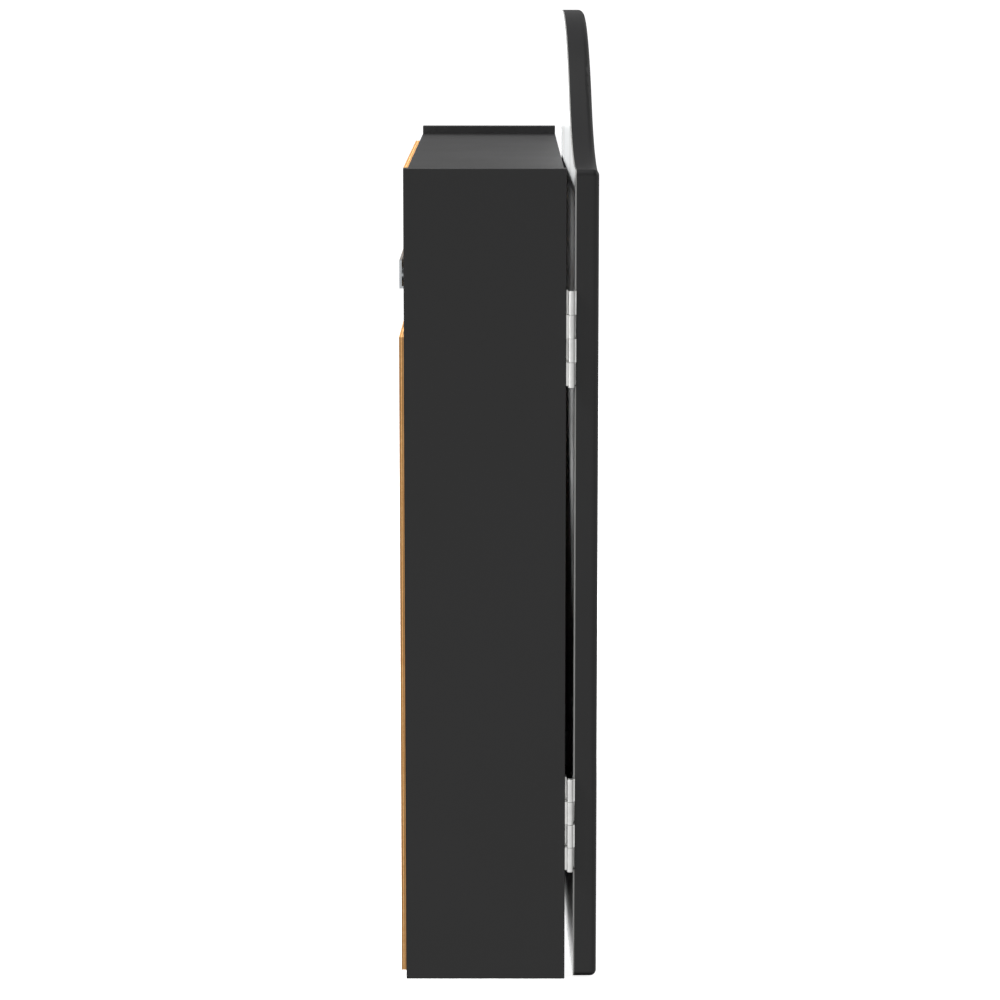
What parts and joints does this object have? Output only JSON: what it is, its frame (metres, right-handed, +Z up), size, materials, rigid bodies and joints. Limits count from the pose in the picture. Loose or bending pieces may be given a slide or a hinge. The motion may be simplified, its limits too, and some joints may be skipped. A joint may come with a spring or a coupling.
{
  "type": "dart board cabinet",
  "caption": "Wall-hung wooden cabinet with a dart board inside and a pair of hinged crowned doors that close over it.",
  "frame": {"origin": "on the back panel's rear face, level with the bullseye and midway between the side panels", "axes": "+Z up, +Y towards the wall, the doors face -Y, +X to the right as seen from the front"},
  "size_m": [0.5082, 0.1272, 0.6249],
  "materials": {
    "black_board": "black painted fibreboard, satin",
    "plywood": "lauan plywood, bare",
    "softwood": "sawn pine, bare",
    "beech": "turned beech",
    "zinc_screw": "zinc plated",
    "zinc_plate": "zinc plated, dull",
    "bracket_steel": "black powder coat",
    "pad_rubber": "moulded",
    "backing_board": "pressed fibre",
    "sisal": "end-on sisal fibre",
    "green_sisal": "dyed end-on sisal fibre",
    "red_sisal": "dyed end-on sisal fibre",
    "black_band": "black enamel",
    "board_wire": "galvanised wire",
    "black_plastic": "moulded",
    "magnet": "nickel plated, dull",
    "hinge_steel": "nickel plated",
    "strike_steel": "zinc plated",
    "white_sheet": "white dry-wipe laminate"
  },
  "bodies": {
    "cabinet": {"side_panel_left": "black_board", "side_panel_right": "black_board", "top_panel": "black_board", "bottom_panel": "black_board", "back_panel": "plywood", "hanger_batten_left": "softwood", "hanger_batten_right": "softwood", "hanger_plate_left": "zinc_plate", "hanger_plate_right": "zinc_plate", "hanger_washers": "zinc_screw", "hanger_screws": "zinc_screw", "panel_dowels": "beech", "back_panel_nails": "zinc_screw", "mounting_rail": "softwood", "board_bracket": "bracket_steel", "bracket_screws": "zinc_screw", "board_hook_screw": "zinc_screw", "board_pads": "pad_rubber", "board_backing": "backing_board", "sisal_face": "sisal", "outer_bull": "green_sisal", "bullseye": "red_sisal", "board_rim": "black_band", "spider": "board_wire", "number_ring": "board_wire", "number_clips": "board_wire", "catch_body_top": "black_plastic", "catch_body_bottom": "black_plastic", "catch_magnets": "magnet", "catch_screws": "zinc_screw", "hinge_box_leaf_upper_left": "hinge_steel", "hinge_box_leaf_upper_right": "hinge_steel", "hinge_box_leaf_lower_left": "hinge_steel", "hinge_box_leaf_lower_right": "hinge_steel", "hinge_pin_upper_left": "hinge_steel", "hinge_pin_upper_right": "hinge_steel", "hinge_pin_lower_left": "hinge_steel", "hinge_pin_lower_right": "hinge_steel", "hinge_box_screws": "zinc_screw"},
    "left_door": {"door_panel_left": "black_board", "whiteboard_left": "white_sheet", "hinge_door_leaf_upper_left": "hinge_steel", "hinge_door_leaf_lower_left": "hinge_steel", "hinge_door_screws_left": "zinc_screw", "strike_plates_left": "strike_steel", "strike_screws_left": "zinc_screw", "dart_rack_left": "black_plastic", "rack_screws_left": "zinc_screw"},
    "right_door": {"door_panel_right": "black_board", "whiteboard_right": "white_sheet", "hinge_door_leaf_upper_right": "hinge_steel", "hinge_door_leaf_lower_right": "hinge_steel", "hinge_door_screws_right": "zinc_screw", "strike_plates_right": "strike_steel", "strike_screws_right": "zinc_screw", "dart_rack_right": "black_plastic", "rack_screws_right": "zinc_screw"}
  },
  "joints": [
    {"name": "left_door_hinge", "type": "hinge", "parent": "cabinet", "child": "left_door", "pos_m": [-0.252, -0.1098, 0], "axis": [0, 0, -1], "range_deg": [0, 180]},
    {"name": "right_door_hinge", "type": "hinge", "parent": "cabinet", "child": "right_door", "pos_m": [0.252, -0.1098, 0], "axis": [0, 0, 1], "range_deg": [0, 180]}
  ]
}
